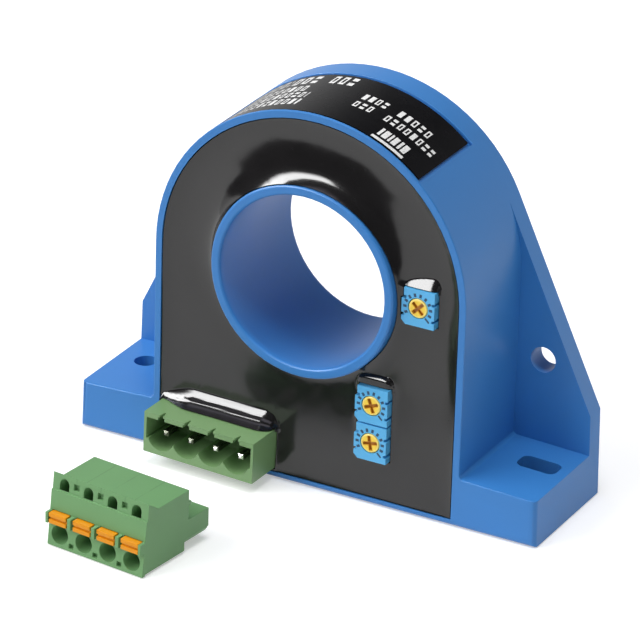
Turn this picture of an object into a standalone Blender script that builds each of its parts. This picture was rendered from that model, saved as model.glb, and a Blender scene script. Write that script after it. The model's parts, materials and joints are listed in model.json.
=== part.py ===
"""Hall effect current sensor with a pluggable four-way spring connector.

Metres, Z up. The origin is the middle of the flat base, X runs along the feet and -Y is the
resin-filled front. Round cable bore along Y.
"""
import math

import bmesh
import bpy
from mathutils import Matrix, Vector

# Housing
BODY_RADIUS = 0.0302
ARCH_CENTRE_Z = 0.0398
DEPTH = 0.0250
RIM_WALL = 0.0013
FLOOR_WALL = 0.0012
BACK_WALL = 0.0018
FOOT_HALF_WIDTH = 0.04465
FOOT_HEIGHT = 0.0093
FOOT_SLOPE = 2.2
FOOT_FLARE = 0.0004
FOOT_FILLET = 0.0008
WEB_THICKNESS = 0.0042
WEB_CORNER_Z = 0.0162
BORE_RADIUS = 0.0166
BORE_WALL = 0.0011
BORE_PROUD = 0.0027
BORE_LIP = 0.0007
BORE_LIP_DEPTH = 0.0014
LIP_ROUND = 0.0005
BORE_BACK_ROUND = 0.0014
EDGE_ROUND = 0.0003
CORNER_ROUND = 0.0010

# Fixing holes
FOOT_HOLE_END = 0.0055
FOOT_HOLE_Y = 0.0003
FOOT_HOLE_RADIUS = 0.00215
SLOT_LENGTH = 0.0075
SLOT_CORNER = 0.0014
WEB_HOLE_Z = 0.0247
WEB_HOLE_RADIUS = 0.0024

# Label in its recess round the arch
RECESS_HALF_ANGLE = 42.5
RECESS_LAND = 0.0005
RECESS_WIDTH = 0.0192
RECESS_DEPTH = 0.0005
LABEL_MARGIN = 0.0006
LABEL_THICKNESS = 0.0002
LABEL_GAP = 0.00015

# Potting resin
RESIN_RECESS = 0.0005
POTTING_GAP = 0.0002
BORE_MENISCUS = 0.0018
HEADER_MENISCUS = 0.0012

# Board, core and Hall element
BOARD_DEPTH = 0.0050
BOARD_THICKNESS = 0.0016
BOARD_MARGIN = 0.0008
CORE_BACK_GAP = 0.0037
CORE_STANDOFF = 0.0019
CORE_BORE_MARGIN = 0.0010
CORE_RIM_GAP = 0.0024
AIR_GAP = 0.0022
HALL_THICKNESS = 0.0016
HALL_WIDTH = 0.0052
HALL_LENGTH = 0.0031
HALL_DEEP = 0.0030
HALL_EDGE_GAP = 0.0013
HALL_LEAD_PITCH = 0.00127
HALL_LEAD = 0.0004

# Board components: width, height and thickness
CHIP_SIDE = 0.0069
AMPLIFIER_SIZE = (0.0049, 0.0039, 0.0015)
REGULATOR_SIZE = (0.0065, 0.0060, 0.0022)
REGULATOR_Z = 0.0110
CAPACITOR_SIZE = (0.0032, 0.0025, 0.0018)
CAPACITOR_Z = 0.0040
CAPACITOR_STEP = 0.0045
DIODE_SIZE = (0.0043, 0.0026, 0.0021)
DIODE_SIDE = 0.0089
DIODE_Z = 0.0170

# Pin header
PITCH = 0.00508
POLES = 4
HEADER_SIDE_GAP = 0.0007
HEADER_WIDTH = 0.0222
HEADER_HEIGHT = 0.0077
HEADER_FLOOR_GAP = 0.0009
HEADER_PROUD = 0.0070
HEADER_BOARD_GAP = 0.0008
HEADER_TURN = -1.8
HEADER_TILT = 1.1
HEADER_END_WALL = 0.0005
HEADER_TOP_WALL = 0.00095
SOCKET_DEPTH = 0.0082
SHELF_DROP = 0.0009
WELL_RADIUS = 0.0027
PIN_HEIGHT = 0.0036
PIN_SIZE = 0.0010
PIN_SETBACK = 0.0015
PIN_TAPER = 0.0003
KEY_WIDTH = 0.0013
KEY_DEPTH = 0.0006
KEY_SLIT_WIDTH = 0.0008
KEY_SLIT_END = 0.0003
KEY_SLIT_LENGTH = 0.0015

# Trimmers
TRIMMER_WIDTH = 0.0063
TRIMMER_HEIGHT = 0.0068
TRIMMER_PROUD = 0.0016
TRIMMER_NOTCH = 0.0005
TRIMMER_LEFT_NOTCHES = (0.0014, -0.0018)
TRIMMER_RIGHT_NOTCHES = (0.0009, -0.0022)
TRIMMER_STEP = 0.0004
TRIMMER_CORNER = 0.0008
ROTOR_RADIUS = 0.00178
ROTOR_THICKNESS = 0.0012
ROTOR_CROWN = 0.00025
ROTOR_STEM_RADIUS = 0.0009
ROTOR_STEM_LENGTH = 0.0010
ROTOR_SLOT_WIDTH = 0.00055
ROTOR_SLOT_DEPTH = 0.0005
ROTOR_SLOT_REACH = 0.0014
TRIMMER_SINGLE_SIDE = 0.00727
TRIMMER_SINGLE_Z = 0.03975
TRIMMER_PAIR_SIDE = 0.01547
TRIMMER_PAIR_Z = 0.0158
TRIMMER_PAIR_GAP = 0.0003
TRIMMER_TUBE_GAP = 0.00035
TRIMMER_TURNS = (45.0, 20.0, 10.0)
TRIMMER_LEAD = 0.0005
TRIMMER_LEAD_OFFSET = 0.0022

# Plug
PLUG_X = -0.0265
PLUG_Y = -0.0540
PLUG_TURN = -6.75
PLUG_END_WALL = 0.00246
PLUG_LENGTH = 0.0129
PLUG_TOP = 0.0114
PLUG_LEAN = 6.2
PLUG_BACK_STEP = 0.0011
PLUG_STEP_TOP = 0.0030
PLUG_TOE = 0.0008
PLUG_FLOOR_STEP = 0.0003
LEDGE_HEIGHT = 0.01005
LEDGE_DEPTH = 0.0003
LIP_TOP = 0.0131
LIP_SLOPE = 0.0026
NOSE_LENGTH = 0.0057
NOSE_TOP = 0.0058
NOSE_CLEARANCE = 0.0003
BACK_RIB_TOP = 0.0092
BACK_RIB_SIZE = 0.0007
ENTRY_RADIUS = 0.00175
ENTRY_THROAT = 0.00125
ENTRY_HEIGHT = 0.00235
ENTRY_DEPTH = 0.0032
LEVER_WIDTH = 0.00365
LEVER_HEIGHT = 0.0020
LEVER_BOTTOM = 0.00435
LEVER_PROUD = 0.0005
LEVER_REACH = 0.0060
LEVER_GROOVE = 0.0004
LEVER_TRAVEL = 0.0012
POST_WIDTH = 0.0007
POST_PROUD = 0.0006
POST_HEIGHT = 0.0020
TEST_HOLE_RADIUS = 0.0010
TEST_HOLE_RISE = 0.0002
TEST_HOLE_SPRING = 0.0009
TEST_HOLE_DEPTH = 0.0030
PIT_SIZE = 0.0012
PIT_RISE = 0.0008
PIT_DEPTH = 0.0007
NOTCH_WIDTH = 0.0010
NOTCH_HEIGHT = 0.0009
NOTCH_CENTRE = 0.00095
CHAMBER_WIDTH = 0.0034
CHAMBER_FRONT = 0.0048
CHAMBER_END_WALL = 0.0010
CHAMBER_FLOOR = 0.0010
CONTACT_WALL = 0.0003
CONTACT_SLEEVE = 0.0019
CONTACT_BAR = 0.0022
SPRING_WIDTH = 0.0026
SPRING_THICKNESS = 0.0003
SPRING_BEND = 0.0011
SPRING_FRONT = 0.0016

# Running and fitting clearances
FIT = 0.0001
RUNNING = 0.00012
SEAT = 0.0003

# Curve resolution
ARCH_STEPS = 40
BORE_STEPS = 64
HOLE_STEPS = 24
LABEL_STEPS = 20
ARC_STEPS = 6

# Worked out from the sizes above
FRONT_Y = -DEPTH / 2
BACK_Y = DEPTH / 2
INNER_RADIUS = BODY_RADIUS - RIM_WALL
FLOOR_Y = BACK_Y - BACK_WALL
TUBE_RADIUS = BORE_RADIUS + BORE_WALL
RESIN_Y = FRONT_Y + RESIN_RECESS
BOARD_Y = FRONT_Y + BOARD_DEPTH
BOARD_BACK_Y = BOARD_Y + BOARD_THICKNESS
CORE_Y = BOARD_BACK_Y + CORE_STANDOFF
CORE_INNER = TUBE_RADIUS + CORE_BORE_MARGIN
CORE_OUTER = INNER_RADIUS - CORE_RIM_GAP
CORE_LENGTH = FLOOR_Y - CORE_BACK_GAP - CORE_Y
HALL_Z = ARCH_CENTRE_Z - CORE_INNER - HALL_EDGE_GAP - HALL_WIDTH / 2
HEADER_LEFT = HEADER_SIDE_GAP - INNER_RADIUS
HEADER_RIGHT = HEADER_LEFT + HEADER_WIDTH
HEADER_CENTRE_X = (HEADER_LEFT + HEADER_RIGHT) / 2
HEADER_Z = FLOOR_WALL + HEADER_FLOOR_GAP
HEADER_Y = FRONT_Y - HEADER_PROUD
HEADER_BOARD = BOARD_Y - HEADER_Y
HEADER_TAILS = HEADER_BOARD + BOARD_THICKNESS + PIN_SIZE
TRIMMER_Y = RESIN_Y - TRIMMER_PROUD
TRIMMER_DEPTH = BOARD_Y - SEAT - TRIMMER_Y
TRIMMER_SINGLE_X = INNER_RADIUS - TRIMMER_SINGLE_SIDE
TRIMMER_PAIR_X = INNER_RADIUS - TRIMMER_PAIR_SIDE
FOOT_HOLE_X = FOOT_HALF_WIDTH - FOOT_HOLE_END
PLUG_WIDTH = (POLES - 1) * PITCH + 2 * PLUG_END_WALL
CAVITY_TOP = HEADER_HEIGHT - HEADER_TOP_WALL - PIN_HEIGHT
CONTACT_Z = NOSE_TOP + NOSE_CLEARANCE - CAVITY_TOP

BLUE = (0.045, 0.215, 0.560)
RESIN_BLACK = (0.042, 0.040, 0.042)
GREEN = (0.150, 0.330, 0.140)
ORANGE = (0.860, 0.330, 0.030)
TRIMMER_BLUE = (0.110, 0.430, 0.800)
BRASS_YELLOW = (0.800, 0.560, 0.150)
TIN = (0.720, 0.720, 0.700)
BOARD_GREEN = (0.030, 0.130, 0.050)
FERRITE = (0.090, 0.090, 0.095)
MOULDED_BLACK = (0.025, 0.025, 0.027)
COPPER = (0.700, 0.400, 0.220)


def clear_scene():
    for item in list(bpy.data.objects):
        bpy.data.objects.remove(item, do_unlink=True)


def new_collection(name):
    group = bpy.data.collections.new(name)
    bpy.context.scene.collection.children.link(group)
    return group


clear_scene()
PARTS = new_collection("hall_effect_current_sensor")
CUTTERS = new_collection("cutters")


def material(name, colour, roughness, metallic=0.0):
    surface = bpy.data.materials.new(name)
    surface.use_nodes = True
    shader = surface.node_tree.nodes["Principled BSDF"]
    shader.inputs["Base Color"].default_value = (*colour, 1.0)
    shader.inputs["Roughness"].default_value = roughness
    shader.inputs["Metallic"].default_value = metallic
    surface.diffuse_color = (*colour, 1.0)
    return surface


def add_object(name, mesh, parent=None):
    item = bpy.data.objects.new(name, mesh)
    PARTS.objects.link(item)
    item.parent = parent
    return item


def finish(item, surface, smooth_angle=30.0):
    """Gives a piece its material and its smooth shading."""
    item.data.materials.clear()
    item.data.materials.append(surface)
    item.data.shade_smooth()
    item.data.set_sharp_from_angle(angle=math.radians(smooth_angle))
    return item


def as_cutter(item):
    PARTS.objects.unlink(item)
    CUTTERS.objects.link(item)
    item.hide_render = True
    item.display_type = "WIRE"
    return item


def boolean(target, other, operation):
    modifier = target.modifiers.new(operation.lower(), "BOOLEAN")
    modifier.operation = operation
    modifier.solver = "EXACT"
    modifier.object = as_cutter(other)


def cut(target, *cutters):
    for cutter in cutters:
        boolean(target, cutter, "DIFFERENCE")


def join(target, *others):
    for other in others:
        boolean(target, other, "UNION")


def arc(centre, radius, start, end, steps):
    """Points on an arc, both ends included, angles in degrees."""
    points = []
    for i in range(steps + 1):
        angle = math.radians(start + (end - start) * i / steps)
        points.append((centre[0] + radius * math.cos(angle), centre[1] + radius * math.sin(angle)))
    return points


def mirrored(points):
    return [(-x, z) for x, z in reversed(points)]


def box(name, low, high, parent=None):
    """A block between two corners, its origin at its middle."""
    low = Vector(low)
    high = Vector(high)
    shape = bmesh.new()
    bmesh.ops.create_cube(shape, size=1.0)
    bmesh.ops.scale(shape, vec=high - low, verts=shape.verts)
    mesh = bpy.data.meshes.new(name)
    shape.to_mesh(mesh)
    shape.free()
    item = add_object(name, mesh, parent)
    item.location = (low + high) / 2
    return item


def cylinder(name, radius, start, end, parent=None, steps=HOLE_STEPS, end_radius=None):
    """A cylinder or cone between two points on its axis."""
    start = Vector(start)
    end = Vector(end)
    if end_radius is None:
        end_radius = radius
    length = (end - start).length
    shape = bmesh.new()
    bmesh.ops.create_cone(shape, cap_ends=True, segments=steps, radius1=radius, radius2=end_radius, depth=length)
    mesh = bpy.data.meshes.new(name)
    shape.to_mesh(mesh)
    shape.free()
    item = add_object(name, mesh, parent)
    item.rotation_mode = "QUATERNION"
    item.rotation_quaternion = (end - start).to_track_quat("Z", "Y")
    item.location = (start + end) / 2
    return item


TURNS = {
    "X": Matrix(((0, 0, 1), (1, 0, 0), (0, 1, 0))).to_4x4(),
    "Y": Matrix(((1, 0, 0), (0, 0, -1), (0, 1, 0))).to_4x4(),
    "Z": Matrix.Identity(4),
}
DIRECTIONS = {"X": Vector((1, 0, 0)), "Y": Vector((0, 1, 0)), "Z": Vector((0, 0, 1))}


def plate(name, outline, axis, low, high, parent=None):
    """A flat outline given thickness along an axis, from low to high.

    The outline is in YZ, XZ or XY for the axes X, Y and Z.
    """
    drawing = bpy.data.curves.new(name, "CURVE")
    drawing.dimensions = "2D"
    drawing.fill_mode = "BOTH"
    half = (high - low) / 2
    drawing.extrude = half
    spline = drawing.splines.new("POLY")
    spline.points.add(len(outline) - 1)
    for point, place in zip(spline.points, outline):
        point.co = (place[0], place[1], 0.0, 1.0)
    spline.use_cyclic_u = True
    sketch = bpy.data.objects.new(name + "_sketch", drawing)
    PARTS.objects.link(sketch)
    graph = bpy.context.evaluated_depsgraph_get()
    mesh = bpy.data.meshes.new_from_object(sketch.evaluated_get(graph))
    mesh.transform(sketch.matrix_world)
    bpy.data.objects.remove(sketch, do_unlink=True)
    shape = bmesh.new()
    shape.from_mesh(mesh)
    bmesh.ops.remove_doubles(shape, verts=shape.verts, dist=0.000002)
    for side in (-1, 1):
        cap = [f for f in shape.faces if all(near(v.co.z, side * half) for v in f.verts)]
        bmesh.ops.dissolve_faces(shape, faces=cap)
    bmesh.ops.transform(shape, matrix=TURNS[axis], verts=shape.verts)
    bmesh.ops.recalc_face_normals(shape, faces=shape.faces)
    shape.to_mesh(mesh)
    shape.free()
    mesh.name = name
    item = add_object(name, mesh, parent)
    item.location = DIRECTIONS[axis] * (low + high) / 2
    return item


def turned(name, profile, parent=None, steps=BORE_STEPS):
    """A closed or axis-to-axis profile in XZ turned about the local Z axis."""
    shape = bmesh.new()
    corners = [shape.verts.new((x, 0.0, z)) for x, z in profile]
    for a, b in zip(corners, corners[1:]):
        shape.edges.new((a, b))
    if profile[0][0] > 0.0 and profile[-1][0] > 0.0:
        shape.edges.new((corners[-1], corners[0]))
    mesh = bpy.data.meshes.new(name)
    shape.to_mesh(mesh)
    shape.free()
    item = add_object(name, mesh, parent)
    screw = item.modifiers.new("turn", "SCREW")
    screw.axis = "Z"
    screw.angle = math.tau
    screw.steps = steps
    screw.render_steps = steps
    screw.use_merge_vertices = True
    screw.merge_threshold = 0.000005
    return item


def round_edges(item, width, segments, wanted):
    """Bevels the edges whose two ends both answer a test."""
    shape = bmesh.new()
    shape.from_mesh(item.data)
    place = Matrix.Translation(item.location)
    chosen = [e for e in shape.edges if wanted(place @ e.verts[0].co, place @ e.verts[1].co)]
    bmesh.ops.bevel(shape, geom=chosen, offset=width, segments=segments, profile=0.5, affect="EDGES",
                    clamp_overlap=False)
    shape.to_mesh(item.data)
    shape.free()


def near(value, target):
    return abs(value - target) < 0.00002


def about_bore(item):
    """Lays a turned piece on the bore's axis, its top to the front."""
    item.rotation_euler = (math.pi / 2, 0.0, 0.0)
    item.location = (0.0, 0.0, ARCH_CENTRE_Z)
    return item


def web_tangent_angle():
    """Angle on the arch where the web's sloping edge meets it."""
    rise = WEB_CORNER_Z - ARCH_CENTRE_Z
    reach = math.hypot(FOOT_HALF_WIDTH, rise)
    return math.degrees(math.atan2(rise, FOOT_HALF_WIDTH) + math.acos(BODY_RADIUS / reach))


def web_hole_x():
    """As far from the body's side as from the web's sloping edge."""
    slope = math.radians(web_tangent_angle())
    edge = FOOT_HALF_WIDTH - (WEB_HOLE_Z - WEB_CORNER_Z) * math.tan(slope)
    return (BODY_RADIUS + edge * math.cos(slope)) / (1 + math.cos(slope))


def arch_points(radius, centre_z, from_angle, to_angle):
    """The arch in steps of one size, with the web's tangent points among its corners."""
    tangent = web_tangent_angle()
    marks = [from_angle, tangent, 180.0 - tangent, to_angle]
    marks = [m for m in sorted(marks) if from_angle <= m <= to_angle]
    points = []
    for a, b in zip(marks, marks[1:]):
        steps = max(1, round(ARCH_STEPS * (b - a) / 180.0))
        stretch = arc((0.0, centre_z), radius, a, b, steps)
        points += stretch if not points else stretch[1:]
    return points


def d_outline(radius, bottom):
    """The arch with straight sides down to a level."""
    return [(radius, bottom)] + arch_points(radius, ARCH_CENTRE_Z, 0.0, 180.0) + [(-radius, bottom)]


def sector_outline(inner, outer, half_angle, steps):
    start = 90.0 - half_angle
    end = 90.0 + half_angle
    centre = (0.0, ARCH_CENTRE_Z)
    return arc(centre, outer, start, end, steps) + arc(centre, inner, end, start, steps)


def rounded_slot(centre, length, width, corner):
    half_length = length / 2 - corner
    half_width = width / 2 - corner
    points = []
    for quarter, (u, v) in enumerate(((1, 1), (-1, 1), (-1, -1), (1, -1))):
        middle = (centre[0] + u * half_length, centre[1] + v * half_width)
        points += arc(middle, corner, 90.0 * quarter, 90.0 * (quarter + 1), ARC_STEPS)
    return points


def foot_side():
    """The right foot from its outer base corner, over its sloping top, into the body's side."""
    slope = math.radians(FOOT_SLOPE)
    lean = FOOT_FLARE / WEB_CORNER_Z
    base = FOOT_HALF_WIDTH + FOOT_FLARE
    level = FOOT_HEIGHT + BODY_RADIUS * math.tan(slope)
    end = (base - lean * level) / (1 - lean * math.tan(slope))
    top = level - end * math.tan(slope)
    fillet_z = FOOT_HEIGHT + FOOT_FILLET * (math.cos(slope) - (1 - math.sin(slope)) * math.tan(slope))
    fillet = arc((BODY_RADIUS + FOOT_FILLET, fillet_z), FOOT_FILLET, -90.0 - FOOT_SLOPE, -180.0, ARC_STEPS)
    return [(base, 0.0), (end, top)] + fillet


def build_housing(surface):
    """The blue moulding: cup, feet, webs and bore tube in one."""
    right_side = foot_side()
    arch = arch_points(BODY_RADIUS, ARCH_CENTRE_Z, 0.0, 180.0)
    body = plate("housing", right_side + arch + mirrored(right_side), "Y", FRONT_Y, BACK_Y - WEB_THICKNESS / 2)

    def upright_corner(a, b):
        return all(abs(p.x) > FOOT_HALF_WIDTH - CORNER_ROUND and near(p.y, FRONT_Y) for p in (a, b))

    round_edges(body, CORNER_ROUND, 3, upright_corner)

    def front_rim(a, b):
        on_front = near(a.y, FRONT_Y) and near(b.y, FRONT_Y)
        return on_front and (a.z > 0.00001 or b.z > 0.00001)

    round_edges(body, EDGE_ROUND, 2, front_rim)

    tangent = web_tangent_angle()
    back_arch = arch_points(BODY_RADIUS, ARCH_CENTRE_Z, tangent, 180.0 - tangent)
    web_side = right_side[:2] + [(FOOT_HALF_WIDTH, WEB_CORNER_Z)]
    webs = plate("web_plate", web_side + back_arch + mirrored(web_side), "Y", BACK_Y - WEB_THICKNESS, BACK_Y)

    def back_rim(a, b):
        on_back = near(a.y, BACK_Y) and near(b.y, BACK_Y)
        return on_back and (a.z > 0.00001 or b.z > 0.00001)

    round_edges(webs, EDGE_ROUND, 2, back_rim)
    join(body, webs)

    cup = plate("cup_cavity", d_outline(INNER_RADIUS, FLOOR_WALL), "Y", FRONT_Y - BORE_PROUD, FLOOR_Y)
    cut(body, cup)

    front = BORE_PROUD - FRONT_Y
    lip_radius = BORE_RADIUS - BORE_LIP
    inner = (lip_radius + LIP_ROUND, front - LIP_ROUND)
    outer = (TUBE_RADIUS - LIP_ROUND, front - LIP_ROUND)
    lip = arc(outer, LIP_ROUND, 90.0, 0.0, 3)
    lip_inside = arc(inner, LIP_ROUND, 180.0, 90.0, 3)
    back = -BACK_Y + BACK_WALL / 2
    tube = about_bore(turned("bore_tube", lip + [(TUBE_RADIUS, back), (BORE_RADIUS - BORE_WALL, back)]
                                 + [(BORE_RADIUS - BORE_WALL, back + BORE_WALL)] + lip_inside))
    join(body, tube)

    start = front + BORE_WALL
    lip_back = front - BORE_LIP_DEPTH
    flare = arc((BORE_RADIUS + BORE_BACK_ROUND, BORE_BACK_ROUND - BACK_Y), BORE_BACK_ROUND, 180.0, 270.0, ARC_STEPS)
    end = -BACK_Y - BORE_WALL
    way = [(0.0, start), (lip_radius, start), (lip_radius, lip_back), (BORE_RADIUS, lip_back - BORE_LIP)]
    way += flare + [(BORE_RADIUS + BORE_BACK_ROUND, end), (0.0, end)]
    cut(body, about_bore(turned("cable_bore", way)))

    top = FOOT_HEIGHT + BORE_WALL
    foot_hole = cylinder("foot_hole", FOOT_HOLE_RADIUS, (-FOOT_HOLE_X, FOOT_HOLE_Y, -BORE_WALL),
                         (-FOOT_HOLE_X, FOOT_HOLE_Y, top))
    slot = plate("foot_slot", rounded_slot((FOOT_HOLE_X, FOOT_HOLE_Y), SLOT_LENGTH, 2 * FOOT_HOLE_RADIUS,
                                              SLOT_CORNER), "Z", -BORE_WALL, top)
    cut(body, foot_hole, slot)
    for side_name, sign in (("left", -1), ("right", 1)):
        x = sign * web_hole_x()
        web_hole = cylinder("web_hole_" + side_name, WEB_HOLE_RADIUS,
                            (x, BACK_Y - WEB_THICKNESS - BORE_WALL, WEB_HOLE_Z),
                            (x, BACK_Y + BORE_WALL, WEB_HOLE_Z))
        cut(body, web_hole)

    recess = plate("label_recess", sector_outline(BODY_RADIUS - RECESS_DEPTH, BODY_RADIUS + RIM_WALL,
                                                  RECESS_HALF_ANGLE, LABEL_STEPS),
                   "Y", FRONT_Y + RECESS_LAND, FRONT_Y + RECESS_LAND + RECESS_WIDTH)
    cut(body, recess)
    return finish(body, surface)


def build_label(surface):
    inner = BODY_RADIUS - RECESS_DEPTH + LABEL_GAP
    half_angle = RECESS_HALF_ANGLE - math.degrees(LABEL_MARGIN / BODY_RADIUS)
    front = FRONT_Y + RECESS_LAND
    label = plate("rating_label", sector_outline(inner, inner + LABEL_THICKNESS, half_angle, LABEL_STEPS), "Y",
                  front + LABEL_MARGIN, front + RECESS_WIDTH - LABEL_MARGIN)
    return finish(label, surface)


def round_ring(name, inner, outer, front_y, back_y):
    """A flat ring round the bore's axis."""
    profile = [(outer, -front_y), (outer, -back_y), (inner, -back_y), (inner, -front_y)]
    return about_bore(turned(name, profile))


def round_bar(name, radius, front_y, back_y):
    """A solid round bar on the bore's axis."""
    return about_bore(turned(name, [(0.0, -front_y), (radius, -front_y), (radius, -back_y), (0.0, -back_y)]))


def build_core(surface):
    """The ring core, opened by its air gap below the bore."""
    core = round_ring("magnetic_core", CORE_INNER, CORE_OUTER, CORE_Y, CORE_Y + CORE_LENGTH)
    gap = box("air_gap", (-AIR_GAP / 2, CORE_Y - SEAT, ARCH_CENTRE_Z - CORE_OUTER - SEAT),
              (AIR_GAP / 2, CORE_Y + CORE_LENGTH + SEAT, ARCH_CENTRE_Z - CORE_INNER + SEAT))
    cut(core, gap)
    return finish(core, surface)


def hall_lead_heights():
    return [HALL_Z + HALL_LEAD_PITCH * (i - 1.5) for i in range(4)]


def build_hall(body_surface, lead_surface):
    front = CORE_Y + HALL_DEEP
    package = box("hall_element", (-HALL_THICKNESS / 2, front, HALL_Z - HALL_WIDTH / 2),
                  (HALL_THICKNESS / 2, front + HALL_LENGTH, HALL_Z + HALL_WIDTH / 2))
    finish(package, body_surface)
    for i, z in enumerate(hall_lead_heights()):
        lead = box(f"hall_lead_{i + 1}", (-HALL_LEAD / 2, BOARD_Y - SEAT, z - HALL_LEAD / 2),
                   (HALL_LEAD / 2, front - FIT, z + HALL_LEAD / 2))
        finish(lead, lead_surface)


def single_trimmer_z():
    """Beside the bore, or under it where its case would reach into the tube."""
    left = TRIMMER_SINGLE_X - TRIMMER_WIDTH / 2
    reach = TUBE_RADIUS + TRIMMER_TUBE_GAP - FIT
    if left >= reach:
        return TRIMMER_SINGLE_Z
    below_tube = ARCH_CENTRE_Z - math.sqrt(reach ** 2 - left ** 2) - TRIMMER_HEIGHT / 2
    return min(TRIMMER_SINGLE_Z, below_tube)


def trimmer_places():
    """Each trimmer's X, Z and the angle its slot is left at."""
    step = (TRIMMER_HEIGHT + TRIMMER_PAIR_GAP) / 2
    places = [(TRIMMER_SINGLE_X, single_trimmer_z()), (TRIMMER_PAIR_X, TRIMMER_PAIR_Z + step),
              (TRIMMER_PAIR_X, TRIMMER_PAIR_Z - step)]
    return [(x, z, turn) for (x, z), turn in zip(places, TRIMMER_TURNS)]


def trimmer_lead_places():
    """The three leads of a trimmer, in its own frame: two below, one above."""
    offset = TRIMMER_LEAD_OFFSET
    return {"a": (-offset, -offset), "b": (offset, -offset), "c": (0.0, offset)}


def pole_positions(centre):
    return [centre + PITCH * (i - (POLES - 1) / 2) for i in range(POLES)]


def square_holes(name, centres, size, front_y, back_y, parent=None):
    """One cutter of several square holes along Y."""
    shape = bmesh.new()
    for x, z in centres:
        made = bmesh.ops.create_cube(shape, size=1.0)["verts"]
        bmesh.ops.scale(shape, vec=(size, back_y - front_y, size), verts=made)
        bmesh.ops.translate(shape, vec=(x, (front_y + back_y) / 2, z), verts=made)
    mesh = bpy.data.meshes.new(name)
    shape.to_mesh(mesh)
    shape.free()
    return add_object(name, mesh, parent)


def build_board(header, surface):
    """The D-shaped board that carries the header, the trimmers and the Hall element."""
    outline = d_outline(INNER_RADIUS - BOARD_MARGIN, FLOOR_WALL + BOARD_MARGIN)
    board = plate("circuit_board", outline, "Y", BOARD_Y, BOARD_BACK_Y)
    opening = round_bar("board_opening", TUBE_RADIUS + BOARD_MARGIN, BOARD_Y - SEAT, BOARD_BACK_Y + SEAT)
    cut(board, opening)
    cut(board, square_holes("header_pin_holes", header_pin_places(), PIN_SIZE + 2 * FIT,
                            HEADER_BOARD - HEADER_BOARD_GAP, HEADER_TAILS, header))
    small = [(0.0, z) for z in hall_lead_heights()]
    cut(board, square_holes("hall_lead_holes", small, HALL_LEAD + 2 * FIT, BOARD_Y - SEAT, BOARD_BACK_Y + SEAT))
    leads = []
    for x, z, turn in trimmer_places():
        leads += [(x + u, z + v) for u, v in trimmer_lead_places().values()]
    cut(board, square_holes("trimmer_lead_holes", leads, TRIMMER_LEAD + 2 * FIT, BOARD_Y - SEAT,
                            BOARD_BACK_Y + SEAT))
    return finish(board, surface)


def components():
    """The board's components: name, centre X, centre Z, width, height, thickness."""
    right = INNER_RADIUS - CHIP_SIDE
    middle = (HEADER_RIGHT + TRIMMER_PAIR_X - TRIMMER_WIDTH / 2) / 2
    amplifier_z = (single_trimmer_z() - TRIMMER_HEIGHT / 2 + REGULATOR_Z + REGULATOR_SIZE[1] / 2) / 2
    return (
        ("amplifier_ic", right, amplifier_z, *AMPLIFIER_SIZE),
        ("regulator_ic", right, REGULATOR_Z, *REGULATOR_SIZE),
        ("filter_capacitor_1", middle, CAPACITOR_Z + CAPACITOR_STEP, *CAPACITOR_SIZE),
        ("filter_capacitor_2", middle, CAPACITOR_Z, *CAPACITOR_SIZE),
        ("protection_diode", DIODE_SIDE - INNER_RADIUS, DIODE_Z, *DIODE_SIZE),
    )


def build_components(surfaces):
    for name, x, z, width, height, thickness in components():
        part = box(name, (x - width / 2, BOARD_Y - FIT - thickness, z - height / 2),
                   (x + width / 2, BOARD_Y - FIT, z + height / 2))
        finish(part, surfaces[name])


def cavity_outline():
    """The header's socket seen from the front: key grooves above, round wells below."""
    poles = pole_positions(0.0)
    right = HEADER_WIDTH / 2 - HEADER_END_WALL
    left = -right
    top = PIN_HEIGHT + CAVITY_TOP
    drop = math.sqrt(max(WELL_RADIUS ** 2 - (PITCH / 2) ** 2, SHELF_DROP ** 2))
    shelf = PIN_HEIGHT - drop
    dip = math.degrees(math.asin(drop / WELL_RADIUS)) + 0.2
    points = [(left, shelf)]
    for x in poles:
        points += arc((x, PIN_HEIGHT), WELL_RADIUS, 180.0 + dip, 360.0 - dip, ARC_STEPS * 2)
    points += [(right, shelf), (right, top)]
    for x in reversed(poles):
        half = KEY_WIDTH / 2
        points += [(x + half, top), (x + half, top + KEY_DEPTH), (x - half, top + KEY_DEPTH), (x - half, top)]
    points.append((left, top))
    return points


def place_header():
    """The header's own frame, at the middle of its lower front edge: it is set a little askew."""
    frame = bpy.data.objects.new("header_place", None)
    PARTS.objects.link(frame)
    frame.location = (HEADER_CENTRE_X, HEADER_Y, HEADER_Z)
    frame.rotation_euler = (0.0, math.radians(HEADER_TILT), math.radians(HEADER_TURN))
    frame.empty_display_size = HEADER_HEIGHT
    return frame


def header_pin_places():
    return [(x, PIN_HEIGHT) for x in pole_positions(0.0)]


def build_header(frame, surface, pin_surface):
    half = HEADER_WIDTH / 2
    back = HEADER_BOARD - HEADER_BOARD_GAP
    header = box("header_housing", (-half, 0.0, 0.0), (half, back, HEADER_HEIGHT), frame)
    cut(header, plate("header_socket", cavity_outline(), "Y", -SEAT, SOCKET_DEPTH, frame))
    cut(header, square_holes("header_pin_seats", header_pin_places(), PIN_SIZE + 2 * FIT, SOCKET_DEPTH - SEAT,
                             back + SEAT, frame))
    for i, x in enumerate(pole_positions(0.0)):
        wide = KEY_SLIT_WIDTH / 2
        narrow = KEY_SLIT_END / 2
        slit = [(x - wide, -SEAT), (x + wide, -SEAT), (x + narrow, KEY_SLIT_LENGTH), (x - narrow, KEY_SLIT_LENGTH)]
        cut(header, plate(f"key_slit_{i + 1}", slit, "Z", HEADER_HEIGHT - HEADER_TOP_WALL + KEY_DEPTH / 2,
                          HEADER_HEIGHT + SEAT, frame))
        build_pin(f"header_pin_{i + 1}", x, frame, pin_surface)
    return finish(header, surface)


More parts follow.
